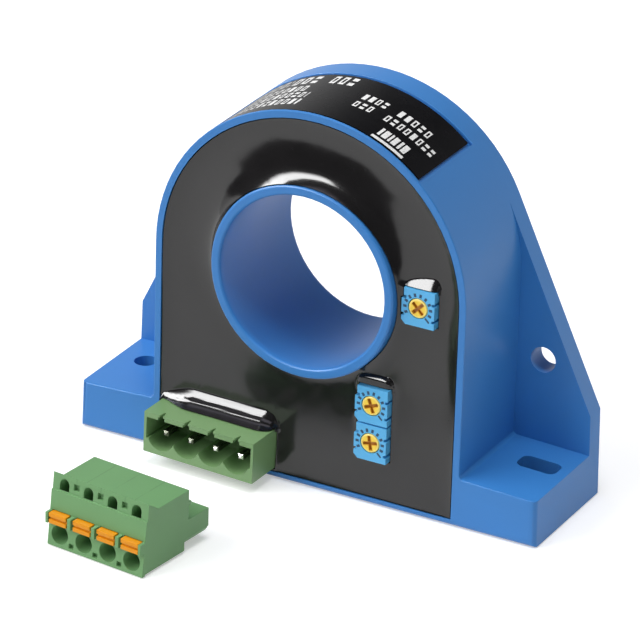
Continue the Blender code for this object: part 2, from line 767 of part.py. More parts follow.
def build_pin(name, x, frame, surface):
    """A square pin with a tapered tip, from the socket to behind the board."""
    half = PIN_SIZE / 2
    pin = box(name, (x - half, PIN_SETBACK, PIN_HEIGHT - half), (x + half, HEADER_TAILS, PIN_HEIGHT + half), frame)

    def tip_edge(a, b):
        return near(a.y, PIN_SETBACK) and near(b.y, PIN_SETBACK)

    round_edges(pin, PIN_TAPER, 1, tip_edge)
    return finish(pin, surface)


def trimmer_outline():
    """The case's face: one side stepped, both sides notched, one corner cut."""
    half_w = TRIMMER_WIDTH / 2
    half_h = TRIMMER_HEIGHT / 2
    notch = TRIMMER_NOTCH
    right = [(half_w, -half_h)]
    for low in reversed(TRIMMER_RIGHT_NOTCHES):
        right += [(half_w, low), (half_w - notch, low), (half_w - notch, low + notch), (half_w, low + notch)]
    right.append((half_w, half_h))
    upper, lower = TRIMMER_LEFT_NOTCHES
    inset = -half_w + TRIMMER_STEP
    left = [(inset, half_h), (inset, upper + notch), (inset + notch, upper + notch), (inset + notch, upper),
            (-half_w, upper), (-half_w, lower + notch), (-half_w + notch, lower + notch), (-half_w + notch, lower),
            (-half_w, lower), (-half_w, -half_h + TRIMMER_CORNER), (-half_w + TRIMMER_CORNER, -half_h)]
    return right + left


def trimmer_seat(x, z, grow):
    """The case's outline without its notches, grown all round, at its place on the resin."""
    side = TRIMMER_WIDTH / 2 + grow
    top = TRIMMER_HEIGHT / 2 + grow
    shoulder = TRIMMER_LEFT_NOTCHES[0] + grow
    inset = TRIMMER_STEP - side
    points = [(side, -top), (side, top), (inset, top), (inset, shoulder), (-side, shoulder),
              (-side, TRIMMER_CORNER - top), (TRIMMER_CORNER - side, -top)]
    return [(x + u, z + v) for u, v in points]


def build_trimmer(number, place, surfaces):
    """Case, rotor and leads, in a frame whose Z points out of the face."""
    x, z, turn = place
    frame = bpy.data.objects.new(f"trimmer_{number}", None)
    PARTS.objects.link(frame)
    frame.location = (x, TRIMMER_Y, z)
    frame.rotation_euler = (math.pi / 2, 0.0, 0.0)
    frame.empty_display_size = TRIMMER_WIDTH
    case = plate(f"trimmer_case_{number}", trimmer_outline(), "Z", -TRIMMER_DEPTH, 0.0, frame)
    well = ROTOR_RADIUS + RUNNING
    cut(case, cylinder(f"rotor_well_{number}", well, (0, 0, -ROTOR_THICKNESS - RUNNING), (0, 0, SEAT), frame, 32))
    stem = ROTOR_STEM_RADIUS + RUNNING
    cut(case, cylinder(f"stem_well_{number}", stem, (0, 0, -ROTOR_THICKNESS - ROTOR_STEM_LENGTH - 2 * RUNNING),
                       (0, 0, -ROTOR_THICKNESS), frame, 32))
    finish(case, surfaces["case"])

    edge = (ROTOR_RADIUS - ROTOR_CROWN, -ROTOR_CROWN)
    crown = arc(edge, ROTOR_CROWN, 90.0, 0.0, 3)
    bottom = -ROTOR_THICKNESS
    profile = [(0.0, 0.0)] + crown
    profile += [(ROTOR_RADIUS, bottom), (ROTOR_STEM_RADIUS, bottom)]
    profile += [(ROTOR_STEM_RADIUS, bottom - ROTOR_STEM_LENGTH), (0.0, bottom - ROTOR_STEM_LENGTH)]
    rotor = turned(f"trimmer_rotor_{number}", profile, frame, 32)
    rotor.rotation_euler = (0.0, 0.0, math.radians(turn))
    reach = ROTOR_SLOT_REACH
    half = ROTOR_SLOT_WIDTH / 2
    for arm, u, v in (("a", reach, half), ("b", half, reach)):
        cut(rotor, box(f"rotor_slot_{number}{arm}", (-u, -v, -ROTOR_SLOT_DEPTH), (u, v, SEAT), rotor))
    finish(rotor, surfaces["rotor"])

    for letter, (u, v) in trimmer_lead_places().items():
        half = TRIMMER_LEAD / 2
        tail = -(BOARD_BACK_Y + PIN_SIZE - TRIMMER_Y)
        lead = box(f"trimmer_pin_{number}{letter}", (u - half, v - half, tail),
                   (u + half, v + half, -TRIMMER_DEPTH - FIT), frame)
        finish(lead, surfaces["pin"])


def build_resin(header, surface):
    """The casting resin: everything in the cup that the other pieces leave free."""
    gap = POTTING_GAP
    resin = plate("potting_resin", d_outline(INNER_RADIUS - gap, FLOOR_WALL + gap), "Y", RESIN_Y, FLOOR_Y - gap)

    rise = BORE_MENISCUS
    foot = TUBE_RADIUS + gap + rise
    curve = arc((foot, -RESIN_Y + rise), rise, 180.0, 270.0, ARC_STEPS)
    collar = [(TUBE_RADIUS + gap / 2, -RESIN_Y + rise)] + curve
    collar += [(foot, -RESIN_Y - rise), (TUBE_RADIUS + gap / 2, -RESIN_Y - rise)]
    join(resin, about_bore(turned("bore_meniscus", collar)))

    top = HEADER_HEIGHT
    rise = HEADER_MENISCUS
    bead_top = top + gap + rise
    profile = [(RESIN_Y + rise, top - rise), (RESIN_Y + rise, bead_top)]
    profile += arc((RESIN_Y - rise, bead_top), rise, 0.0, -90.0, ARC_STEPS)
    profile += [(RESIN_Y - rise, top - rise)]
    bead_place = bpy.data.objects.new("meniscus_place", None)
    PARTS.objects.link(bead_place)
    bead_place.location = (HEADER_CENTRE_X, 0.0, HEADER_Z)
    bead_place.rotation_euler = (0.0, math.radians(HEADER_TILT), 0.0)
    bead_place.empty_display_size = HEADER_MENISCUS
    join(resin, plate("header_meniscus", profile, "X", rise - HEADER_WIDTH / 2, HEADER_WIDTH / 2, bead_place))

    cut(resin, round_bar("tube_clearance", TUBE_RADIUS + gap, FRONT_Y - BORE_PROUD - BORE_MENISCUS, BACK_Y))
    board_space = plate("board_space", d_outline(INNER_RADIUS - BOARD_MARGIN + gap, FLOOR_WALL + BOARD_MARGIN - gap),
                        "Y", BOARD_Y - gap, BOARD_BACK_Y + gap)
    cut(board_space, round_bar("board_space_centre", TUBE_RADIUS + BOARD_MARGIN - gap, BOARD_Y - rise,
                               BOARD_BACK_Y + rise))
    cut(resin, board_space)
    cut(resin, round_ring("core_space", CORE_INNER - gap, CORE_OUTER + gap, CORE_Y - gap, CORE_Y + CORE_LENGTH + gap))
    half = HALL_THICKNESS / 2 + gap
    front = CORE_Y + HALL_DEEP
    cut(resin, box("hall_space", (-half, front - gap, HALL_Z - HALL_WIDTH / 2 - gap),
                   (half, front + HALL_LENGTH + gap, HALL_Z + HALL_WIDTH / 2 + gap)))
    half = HALL_LEAD / 2 + gap
    heights = hall_lead_heights()
    cut(resin, box("hall_lead_space", (-half, BOARD_Y - SEAT - gap, heights[0] - half),
                   (half, front, heights[-1] + half)))

    half = HEADER_WIDTH / 2 + gap
    cut(resin, box("header_space", (-half, 0.0, -gap), (half, HEADER_BOARD + gap, top + gap), header))
    cut(resin, square_holes("pin_tail_space", header_pin_places(), PIN_SIZE + 2 * gap, HEADER_BOARD,
                            HEADER_TAILS + gap, header))
    tails = []
    for number, (x, z, turn) in enumerate(trimmer_places(), 1):
        cut(resin, plate(f"trimmer_space_{number}", trimmer_seat(x, z, gap), "Y", TRIMMER_Y, BOARD_Y))
        tails += [(x + u, z + v) for u, v in trimmer_lead_places().values()]
    cut(resin, square_holes("trimmer_tail_space", tails, TRIMMER_LEAD + 2 * gap, BOARD_Y,
                            BOARD_BACK_Y + PIN_SIZE + gap))
    for name, x, z, width, height, thickness in components():
        cut(resin, box(name + "_space", (x - width / 2 - gap, BOARD_Y - FIT - thickness - gap, z - height / 2 - gap),
                       (x + width / 2 + gap, BOARD_Y, z + height / 2 + gap)))
    return finish(resin, surface)


def plug_front(height):
    """How far back the plug's leaning front face lies at a height."""
    return height * math.tan(math.radians(PLUG_LEAN))


def plug_side_outline():
    """The plug's body seen from its end, in its own Y and Z."""
    back = PLUG_LENGTH
    low_back = back - PLUG_BACK_STEP
    rib = BACK_RIB_SIZE
    ledge = plug_front(LEDGE_HEIGHT)
    lip = plug_front(LIP_TOP) + LEDGE_DEPTH
    return [(0.0, 0.0), (PLUG_TOE, 0.0), (PLUG_TOE, PLUG_FLOOR_STEP), (low_back, PLUG_FLOOR_STEP),
            (low_back, PLUG_STEP_TOP), (back, PLUG_STEP_TOP), (back, BACK_RIB_TOP - rib),
            (back + rib, BACK_RIB_TOP - rib), (back + rib, BACK_RIB_TOP), (back, BACK_RIB_TOP), (back, PLUG_TOP),
            (lip + LIP_SLOPE, PLUG_TOP), (lip, LIP_TOP), (ledge + LEDGE_DEPTH, LEDGE_HEIGHT), (ledge, LEDGE_HEIGHT)]


def nose_outline(poles):
    """The part that enters the header, seen from the front: flat above, lobed below."""
    drop = math.sqrt(max(WELL_RADIUS ** 2 - (PITCH / 2) ** 2, SHELF_DROP ** 2))
    shelf = CONTACT_Z - drop + NOSE_CLEARANCE
    lobe = WELL_RADIUS - NOSE_CLEARANCE
    dip = math.degrees(math.asin((CONTACT_Z - shelf) / lobe))
    points = [(0.0, shelf)]
    for x in poles:
        points += arc((x, CONTACT_Z), lobe, 180.0 + dip, 360.0 - dip, ARC_STEPS * 2)
    return points + [(PLUG_WIDTH, shelf), (PLUG_WIDTH, NOSE_TOP), (0.0, NOSE_TOP)]


def test_hole(number, x, frame):
    """A hole with a flat floor and a round top, as steep as the slope behind the lip."""
    radius = TEST_HOLE_RADIUS
    outline = [(x - radius, 0.0), (x + radius, 0.0)] + arc((x, TEST_HOLE_SPRING), radius, 0.0, 180.0, 10)
    top = TEST_HOLE_SPRING + radius
    hole = plate(f"test_hole_{number}", outline, "Y", -top, TEST_HOLE_DEPTH, frame)
    turn = Matrix.Rotation(-math.atan2(LIP_TOP - PLUG_TOP, LIP_SLOPE), 4, "X")
    foot = Vector((0.0, plug_front(LEDGE_HEIGHT) + LEDGE_DEPTH, LEDGE_HEIGHT + TEST_HOLE_RISE))
    hole.location = foot + turn @ hole.location
    hole.rotation_euler = turn.to_euler()
    return hole


def build_plug(surfaces):
    """The spring plug, modelled square in its own frame and laid down turned a little."""
    frame = bpy.data.objects.new("plug_place", None)
    PARTS.objects.link(frame)
    frame.location = (PLUG_X, PLUG_Y, 0.0)
    frame.rotation_euler = (0.0, 0.0, math.radians(PLUG_TURN))
    frame.empty_display_size = PLUG_WIDTH
    poles = pole_positions(PLUG_WIDTH / 2)
    plug = plate("plug_housing", plug_side_outline(), "X", 0.0, PLUG_WIDTH, frame)
    nose_end = PLUG_LENGTH + NOSE_LENGTH
    low_back = PLUG_LENGTH - PLUG_BACK_STEP
    join(plug, plate("plug_nose", nose_outline(poles), "Y", low_back - SEAT, nose_end, frame))
    post_bottom = LEVER_BOTTOM + (LEVER_HEIGHT - POST_HEIGHT) / 2
    for i in range(POLES + 1):
        x = min(max(poles[0] + PITCH * (i - 0.5), POST_WIDTH / 2), PLUG_WIDTH - POST_WIDTH / 2)
        post = box(f"lever_post_{i + 1}", (x - POST_WIDTH / 2, -POST_PROUD, post_bottom),
                   (x + POST_WIDTH / 2, plug_front(post_bottom + POST_HEIGHT) + SEAT, post_bottom + POST_HEIGHT),
                   frame)
        join(plug, post)

    chamber_end = low_back - CHAMBER_END_WALL
    lever_top = LEVER_BOTTOM + LEVER_HEIGHT + RUNNING
    for i, x in enumerate(poles):
        number = i + 1
        side = CHAMBER_WIDTH / 2
        cut(plug, box(f"chamber_{number}", (x - side, CHAMBER_FRONT, CHAMBER_FLOOR),
                      (x + side, chamber_end, lever_top + SEAT), frame))
        half = LEVER_WIDTH / 2 + RUNNING
        cut(plug, box(f"lever_slot_{number}", (x - half, -POST_PROUD - SEAT, LEVER_BOTTOM - RUNNING),
                      (x + half, LEVER_REACH + LEVER_TRAVEL + SEAT, lever_top), frame))
        cut(plug, wire_entry(number, x, frame))
        hole = CONTACT_SLEEVE / 2 + FIT
        cut(plug, box(f"contact_way_{number}", (x - hole, chamber_end - SEAT, CONTACT_Z - hole),
                      (x + hole, nose_end + SEAT, CONTACT_Z + hole), frame))
        cut(plug, test_hole(number, x, frame))
        build_lever(number, x, frame, surfaces["lever"])
        build_contact(number, x, frame, chamber_end, surfaces["contact"])
        build_spring(number, x, frame, chamber_end, lever_top, surfaces["spring"])
    for i in range(POLES - 1):
        x = (poles[i] + poles[i + 1]) / 2
        low = LEDGE_HEIGHT + PIT_RISE
        cut(plug, box(f"band_pit_{i + 1}", (x - PIT_SIZE / 2, plug_front(low) - SEAT, low),
                      (x + PIT_SIZE / 2, plug_front(low) + LEDGE_DEPTH + PIT_DEPTH, low + PIT_SIZE), frame))
        low = NOTCH_CENTRE - NOTCH_HEIGHT / 2
        cut(plug, box(f"face_notch_{i + 1}", (x - NOTCH_WIDTH / 2, -SEAT, low),
                      (x + NOTCH_WIDTH / 2, plug_front(low) + PIT_DEPTH, low + NOTCH_HEIGHT), frame))
    return finish(plug, surfaces["plug"])


def wire_entry(number, x, frame):
    """The space a wire goes in by: a funnel, then a round throat to the chamber."""
    front = plug_front(ENTRY_HEIGHT)
    deep = CHAMBER_FRONT + SEAT - front
    profile = [(0.0, SEAT), (ENTRY_RADIUS, SEAT), (ENTRY_RADIUS, 0.0), (ENTRY_THROAT, -ENTRY_DEPTH),
               (ENTRY_THROAT, -deep), (0.0, -deep)]
    entry = turned(f"wire_entry_{number}", profile, frame, HOLE_STEPS)
    entry.rotation_euler = (math.pi / 2, 0.0, 0.0)
    entry.location = (x, front, ENTRY_HEIGHT)
    return entry


def build_lever(number, x, frame, surface):
    """A release lever with a grip groove across its face."""
    lever = box(f"plug_lever_{number}", (x - LEVER_WIDTH / 2, -LEVER_PROUD, LEVER_BOTTOM),
                (x + LEVER_WIDTH / 2, LEVER_REACH, LEVER_BOTTOM + LEVER_HEIGHT), frame)
    groove = LEVER_GROOVE / 2
    middle = LEVER_BOTTOM + LEVER_HEIGHT / 2
    cut(lever, box(f"lever_groove_{number}", (x - LEVER_WIDTH, -LEVER_PROUD - groove, middle - groove),
                   (x + LEVER_WIDTH, -LEVER_PROUD + LEVER_GROOVE, middle + groove), frame))
    return finish(lever, surface)


def build_contact(number, x, frame, chamber_end, surface):
    """The sleeve for the header's pin, with the bar the wire is clamped on."""
    half = CONTACT_SLEEVE / 2
    back = chamber_end - FIT
    front = back - CONTACT_WALL
    floor = CHAMBER_FLOOR + FIT
    top = CONTACT_Z + half + CONTACT_WALL
    start = CHAMBER_FRONT + SEAT
    end = PLUG_LENGTH + NOSE_LENGTH - SEAT
    strip = [(start, floor), (back, floor), (back, top), (front, top), (front, floor + CONTACT_WALL),
             (start, floor + CONTACT_WALL)]
    side = CONTACT_BAR / 2
    contact = plate(f"plug_contact_{number}", strip, "X", x - side, x + side, frame)
    join(contact, box(f"contact_sleeve_{number}", (x - half, back - CONTACT_WALL / 2, CONTACT_Z - half),
                      (x + half, end, CONTACT_Z + half), frame))
    bore = half - CONTACT_WALL
    cut(contact, box(f"contact_bore_{number}", (x - bore, front - SEAT, CONTACT_Z - bore),
                     (x + bore, end + SEAT, CONTACT_Z + bore), frame))
    return finish(contact, surface)


def build_spring(number, x, frame, chamber_end, lever_top, surface):
    """A bent leaf that holds the wire down on the bar."""
    back = chamber_end - FIT - CONTACT_WALL - SEAT
    top = lever_top
    bar_top = CHAMBER_FLOOR + FIT + CONTACT_WALL
    bend = arc((back - SPRING_BEND, top - SPRING_BEND), SPRING_BEND, 90.0, -60.0, ARC_STEPS)
    front = back - SPRING_BEND - SPRING_FRONT
    line = [(front, top)] + bend + [(front + SEAT, bar_top + SPRING_THICKNESS + SEAT)]
    half = SPRING_WIDTH / 2
    shape = bmesh.new()
    rows = [[shape.verts.new((x + side, v, w)) for side in (-half, half)] for v, w in line]
    for a, b in zip(rows, rows[1:]):
        shape.faces.new((a[0], a[1], b[1], b[0]))
    mesh = bpy.data.meshes.new(f"plug_spring_{number}")
    shape.to_mesh(mesh)
    shape.free()
    spring = add_object(f"plug_spring_{number}", mesh, frame)
    skin = spring.modifiers.new("leaf", "SOLIDIFY")
    skin.thickness = SPRING_THICKNESS
    skin.offset = -1.0
    return finish(spring, surface)


def main():
    blue = material("housing_blue", BLUE, 0.42)
    resin = material("potting_black", RESIN_BLACK, 0.12)
    green = material("connector_green", GREEN, 0.48)
    tin = material("tinned_brass", TIN, 0.30, 1.0)
    black = material("moulded_black", MOULDED_BLACK, 0.45)
    ceramic = material("capacitor_tan", COPPER, 0.55)
    header = place_header()
    build_housing(blue)
    build_resin(header, resin)
    build_label(material("label_black", MOULDED_BLACK, 0.20))
    build_core(material("core_grey", FERRITE, 0.60))
    build_hall(black, tin)
    build_board(header, material("board_green", BOARD_GREEN, 0.40))
    build_components({"amplifier_ic": black, "regulator_ic": black, "protection_diode": black,
                      "filter_capacitor_1": ceramic, "filter_capacitor_2": ceramic})
    build_header(header, green, tin)
    trimmer = {"case": material("trimmer_blue", TRIMMER_BLUE, 0.35),
               "rotor": material("rotor_yellow", BRASS_YELLOW, 0.35), "pin": tin}
    for number, place in enumerate(trimmer_places(), 1):
        build_trimmer(number, place, trimmer)
    build_plug({"plug": green, "lever": material("lever_orange", ORANGE, 0.40), "contact": tin,
                "spring": material("spring_steel", TIN, 0.35, 1.0)})


main()
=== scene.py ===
"""Looks of the Hall effect current sensor and its spring plug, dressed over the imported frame."""
import json
import math

import bpy
import numpy as np
from mathutils import Matrix, Vector

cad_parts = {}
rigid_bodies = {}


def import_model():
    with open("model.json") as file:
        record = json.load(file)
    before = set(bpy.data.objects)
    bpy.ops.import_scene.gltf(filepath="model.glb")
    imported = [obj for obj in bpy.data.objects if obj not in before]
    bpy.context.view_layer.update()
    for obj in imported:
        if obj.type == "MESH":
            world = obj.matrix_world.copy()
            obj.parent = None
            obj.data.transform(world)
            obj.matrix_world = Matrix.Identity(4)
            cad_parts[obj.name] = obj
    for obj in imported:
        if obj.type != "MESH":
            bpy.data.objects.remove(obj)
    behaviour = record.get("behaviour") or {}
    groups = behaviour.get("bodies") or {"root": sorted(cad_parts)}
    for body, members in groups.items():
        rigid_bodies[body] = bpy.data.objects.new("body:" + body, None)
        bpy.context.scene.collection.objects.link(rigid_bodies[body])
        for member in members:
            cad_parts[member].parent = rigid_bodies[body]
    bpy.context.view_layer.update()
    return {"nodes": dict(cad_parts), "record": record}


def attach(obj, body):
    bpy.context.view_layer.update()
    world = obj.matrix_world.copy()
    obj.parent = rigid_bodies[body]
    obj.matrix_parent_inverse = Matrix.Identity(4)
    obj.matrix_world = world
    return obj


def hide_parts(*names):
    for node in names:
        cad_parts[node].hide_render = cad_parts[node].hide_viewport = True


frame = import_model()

MM = 0.001

# Where things are, in millimetres, as the CAD has them
BORE_Z = 39.8
TUBE_RADIUS = 17.7
INNER_RADIUS = 28.9
FLOOR_WALL = 1.2
RESIN_FACE = -12.0
BODY_RADIUS = 30.2
RECESS_BACK = 7.2
TRIMMERS = {1: (21.63, 39.75), 2: (13.43, 19.35), 3: (13.43, 12.25)}
TRIMMER_TURNS = {1: 45.0, 2: 20.0, 3: 10.0}
TRIMMER_FACE = -13.6
HEADER_MIDDLE = -17.1
HEADER_HALF = 11.1
HEADER_LOW = 2.1
HEADER_TOP = 9.8
HEADER_TILT = 1.1
PIN_TIP = -18.0
PLUG_PLACE = (-26.5, -54.0)
PLUG_TURN = -6.75
PLUG_TOP = 11.2
WAY_PITCH = 5.08
FIRST_WAY_END = 5.0
SILL_HEIGHTS = (3.3, 4.8)
SILL_BACK = -51.5
FOOT_TOPS = (7.0, 11.0)
FOOT_FRONT = -12.3
FOOT_END = 43.5

# How edges are picked: sharper than this, in degrees, and this near a named place
EDGE_ANGLE = 30.0
NEAR = 0.05

# The lights' common aim, in metres
AIM = (0.0, 0.0, 0.03)


class Term:
    """One output socket of a finish; arithmetic on it adds Math nodes."""

    def __init__(self, finish, socket):
        self.finish = finish
        self.socket = socket

    def math(self, operation, *others, clamp=False):
        settings = {"operation": operation, "use_clamp": clamp}
        return Term(self.finish, self.finish.node("ShaderNodeMath", settings, [self, *others]).outputs[0])

    def __add__(self, other):
        return self.math("ADD", other)

    def __radd__(self, other):
        return self.math("ADD", other)

    def __sub__(self, other):
        return self.math("SUBTRACT", other)

    def __rsub__(self, other):
        return self.finish.value("SUBTRACT", other, self)

    def __mul__(self, other):
        return self.math("MULTIPLY", other)

    def __rmul__(self, other):
        return self.math("MULTIPLY", other)

    def __truediv__(self, other):
        return self.math("DIVIDE", other)

    def __gt__(self, other):
        return self.math("GREATER_THAN", other)

    def __lt__(self, other):
        return self.math("LESS_THAN", other)

    def max(self, other):
        return self.math("MAXIMUM", other)

    def min(self, other):
        return self.math("MINIMUM", other)

    def abs(self):
        return self.math("ABSOLUTE")

    def between(self, low, high):
        return (self > low) * (self < high)

    def ramp(self, low, high):
        """0 at low, 1 at high, straight between."""
        return ((self - low) / (high - low)).math("ADD", 0.0, clamp=True)


class Finish:
    """A material made of nodes, on Object coordinates in millimetres."""

    def __init__(self, name):
        self.material = bpy.data.materials.new(name)
        self.material.use_nodes = True
        self.tree = self.material.node_tree
        self.shader = self.tree.nodes["Principled BSDF"]
        self.place = self.node("ShaderNodeTexCoord").outputs["Object"]
        axes = self.node("ShaderNodeSeparateXYZ", {}, [self.place])
        self.x, self.y, self.z = [Term(self, axes.outputs[i]) * (1 / MM) for i in range(3)]

    def node(self, kind, settings=None, inputs=()):
        node = self.tree.nodes.new(kind)
        for key, setting in (settings or {}).items():
            setattr(node, key, setting)
        pairs = inputs.items() if isinstance(inputs, dict) else enumerate(inputs)
        for key, value in pairs:
            self.feed(node.inputs[key], value)
        return node

    def feed(self, socket, value):
        if isinstance(value, Term):
            value = value.socket
        if isinstance(value, bpy.types.NodeSocket):
            self.tree.links.new(value, socket)
        elif isinstance(value, tuple) and len(value) == 3 and socket.type == "RGBA":
            socket.default_value = (*value, 1.0)
        else:
            socket.default_value = value

    def value(self, operation, a, b):
        return Term(self, self.node("ShaderNodeMath", {"operation": operation}, [a, b]).outputs[0])

    def noise(self, size, detail=2.0, roughness=0.5, stretch=(1.0, 1.0, 1.0), offset=0.0):
        """Noise with features about size millimetres across, from 0 to 1."""
        scale = tuple(1.0 / (size * MM * s) for s in stretch)
        mapped = self.node("ShaderNodeMapping", {}, {"Vector": self.place, "Scale": scale,
                                                     "Location": (offset, offset, offset)})
        made = self.node("ShaderNodeTexNoise", {}, {"Vector": mapped.outputs[0], "Scale": 1.0,
                                                    "Detail": detail, "Roughness": roughness})
        return Term(self, made.outputs["Fac"])

    def whole(self, steps, row):
        """A chance number from 0 to 1 for each whole step of a row."""
        made = self.node("ShaderNodeTexWhiteNoise", {"noise_dimensions": "2D"})
        place = self.node("ShaderNodeCombineXYZ", {}, [steps.math("FLOOR"), row])
        self.feed(made.inputs["Vector"], place.outputs[0])
        return Term(self, made.outputs["Value"])

    def mix(self, mask, a, b):
        """Colour a where mask is 0, colour b where it is 1."""
        node = self.node("ShaderNodeMix", {"data_type": "RGBA"}, {0: mask, 6: a, 7: b})
        return Term(self, node.outputs[2])

    def bump(self, height, depth, below=None):
        """A surface raised by height (0 to 1) times depth in millimetres."""
        inputs = {"Height": height, "Distance": depth * MM, "Strength": 1.0}
        if below is not None:
            inputs["Normal"] = below
        return Term(self, self.node("ShaderNodeBump", {}, inputs).outputs[0])

    def paint(self, **inputs):
        for name, value in inputs.items():
            self.feed(self.shader.inputs[name.replace("_", " ")], value)
        return self.material


def shade(colour, factor):
    return tuple(min(1.0, c * factor) for c in colour)


BLUE = (0.040, 0.205, 0.545)
RESIN = (0.010, 0.0095, 0.010)
GREEN_HEADER = (0.180, 0.325, 0.135)
GREEN_PLUG = (0.140, 0.310, 0.125)
ORANGE = (0.730, 0.275, 0.003)
TRIMMER_BLUE = (0.095, 0.440, 0.800)
YELLOW = (0.930, 0.640, 0.060)
TIN = (0.780, 0.770, 0.740)


def moulded(name, colour, roughness, grain=0.25, depth=0.004, tone=0.06, specular=0.5):
    """Moulded plastic: slight tone drift, fine spark-eroded grain, roughness that varies with it."""
    finish = Finish(name)
    finish.paint(Specular_IOR_Level=specular)
    drift = finish.noise(9.0, 2.0)
    grains = finish.noise(grain, 3.0, 0.6)
    base = finish.mix(drift, shade(colour, 1.0 - tone), shade(colour, 1.0 + tone))
    rough = roughness + 0.10 * (grains - 0.5) + 0.08 * (drift - 0.5)
    return finish.paint(Base_Color=base, Roughness=rough, Normal=finish.bump(grains, depth))


def plug_finish():
    """The plug's green moulding, with faint mould lines between the ways on its top, pressed in by bump and
    darkened with painted shade.
    """
    finish = Finish("plug_green")
    turn = math.radians(PLUG_TURN)
    across = (finish.x - PLUG_PLACE[0]) * math.cos(turn) + (finish.y - PLUG_PLACE[1]) * math.sin(turn)
    line = (((across - FIRST_WAY_END) / WAY_PITCH + 0.5).math("FRACT") - 0.5).abs() < 0.022
    line = line * (finish.z > PLUG_TOP) * across.between(3.0, 17.0) * finish.noise(3.0, 1.0).ramp(0.25, 0.50)
    drift = finish.noise(9.0, 2.0)
    grains = finish.noise(0.25, 3.0, 0.6)
    base = finish.mix(drift, shade(GREEN_PLUG, 0.92), shade(GREEN_PLUG, 1.06))
    # painted shade along the mould lines
    base = finish.mix(line * 0.30, base, shade(GREEN_PLUG, 0.45))
    finish.paint(Specular_IOR_Level=0.36)
    rough = 0.44 + 0.10 * (grains - 0.5) + 0.08 * (drift - 0.5)
    return finish.paint(Base_Color=base, Roughness=rough, Normal=finish.bump(grains - 2.0 * line, 0.004))


def housing_finish():
    """Blue thermoplastic with a fine satin grain and faint rub marks."""
    finish = Finish("blue_moulding")
    drift = finish.noise(14.0, 3.0)
    grains = finish.noise(0.22, 3.0, 0.6)
    rubs = finish.noise(1.4, 4.0, 0.65, (6.0, 1.0, 0.6), 3.0).ramp(0.62, 0.72)
    base = finish.mix(drift, shade(BLUE, 0.94), shade(BLUE, 1.06))
    base = finish.mix(rubs * 0.10, base, shade(BLUE, 1.5))
    rough = 0.40 + 0.10 * (grains - 0.5) + 0.10 * (drift - 0.5) + 0.05 * rubs
    finish.paint(Specular_IOR_Level=0.34)
    return finish.paint(Base_Color=base, Roughness=rough, Normal=finish.bump(grains, 0.004))


def resin_finish():
    """Cast black resin: glossy, with slow waves and a little dust set in the skin."""
    finish = Finish("black_resin")
    haze = finish.noise(7.0, 2.0)
    dust = finish.noise(0.30, 1.0).ramp(0.72, 0.80)
    waves = finish.noise(5.0, 1.0, 0.4, (1.0, 1.0, 1.0), 7.0)
    base = finish.mix(haze, shade(RESIN, 0.8), shade(RESIN, 1.4))
    base = finish.mix(dust * 0.25, base, (0.05, 0.05, 0.05))
    rough = 0.10 + 0.06 * haze + 0.10 * dust
    return finish.paint(Base_Color=base, Roughness=rough, Normal=finish.bump(waves, 0.05))


def label_finish():
    """Black film with rows of small pale blocks, solid, hollow or split, and a few bars and a rule."""
    finish = Finish("label_film")
    along = finish.value("ARCTAN2", finish.x, finish.z - BORE_Z) * BODY_RADIUS
    rows = (  # start and end round the arch, the row's front and back edge, the pitch of its blocks
        (-21.0, -13.6, 2.3, 5.7, 1.75), (-12.9, -7.2, 2.3, 5.7, 1.90), (-5.3, -0.1, 2.3, 5.7, 1.75),
        (-20.4, -7.3, -1.8, 0.8, 1.30), (-20.4, -5.8, -5.1, -2.6, 1.30), (-20.4, -5.6, -8.7, -6.0, 1.30),
        (3.1, 8.3, -1.4, 0.8, 1.30), (10.2, 17.4, -1.4, 0.8, 1.45), (3.1, 7.1, -4.8, -2.6, 1.35),
        (9.3, 20.3, -4.8, -2.6, 1.38),
    )
    printed = None
    for start, end, low, high, pitch in rows:
        steps = (along - start) / pitch
        cell = steps.math("FRACT")
        rise = (finish.y - low) / (high - low)
        kind = finish.whole(steps, low)
        block = cell.between(0.08, 0.68) * rise.between(0.0, 1.0)
        hole = cell.between(0.25, 0.51) * rise.between(0.20, 0.80)
        split = rise.between(0.36, 0.64)
        opening = hole * kind.between(0.25, 0.72) + split * (kind > 0.72)
        block = block * (1.0 - opening) * along.between(start, end)
        printed = block if printed is None else printed.max(block)
    for start, wide in ((10.9, 0.5), (11.7, 1.0), (13.0, 0.4), (13.7, 0.9), (15.0, 0.5), (15.8, 1.0)):
        printed = printed.max(along.between(start, start + wide) * finish.y.between(-9.6, -6.95))
    printed = printed.max(along.between(10.5, 17.2) * finish.y.between(-11.1, -10.3))
    printed = printed * (0.30 + 0.70 * along.ramp(-19.0, -11.0))
    film = finish.noise(4.0, 2.0)
    wear = finish.noise(0.35, 3.0, 0.7).ramp(0.25, 0.50)
    base = finish.mix(film, (0.0035, 0.0035, 0.0045), (0.0060, 0.0058, 0.0070))
    base = finish.mix(printed * (0.55 + 0.45 * wear), base, (0.86, 0.86, 0.86))
    finish.paint(Specular_IOR_Level=0.06)
    rough = 0.24 + 0.06 * film + 0.25 * printed
    return finish.paint(Base_Color=base, Roughness=rough, Normal=finish.bump(film, 0.01))


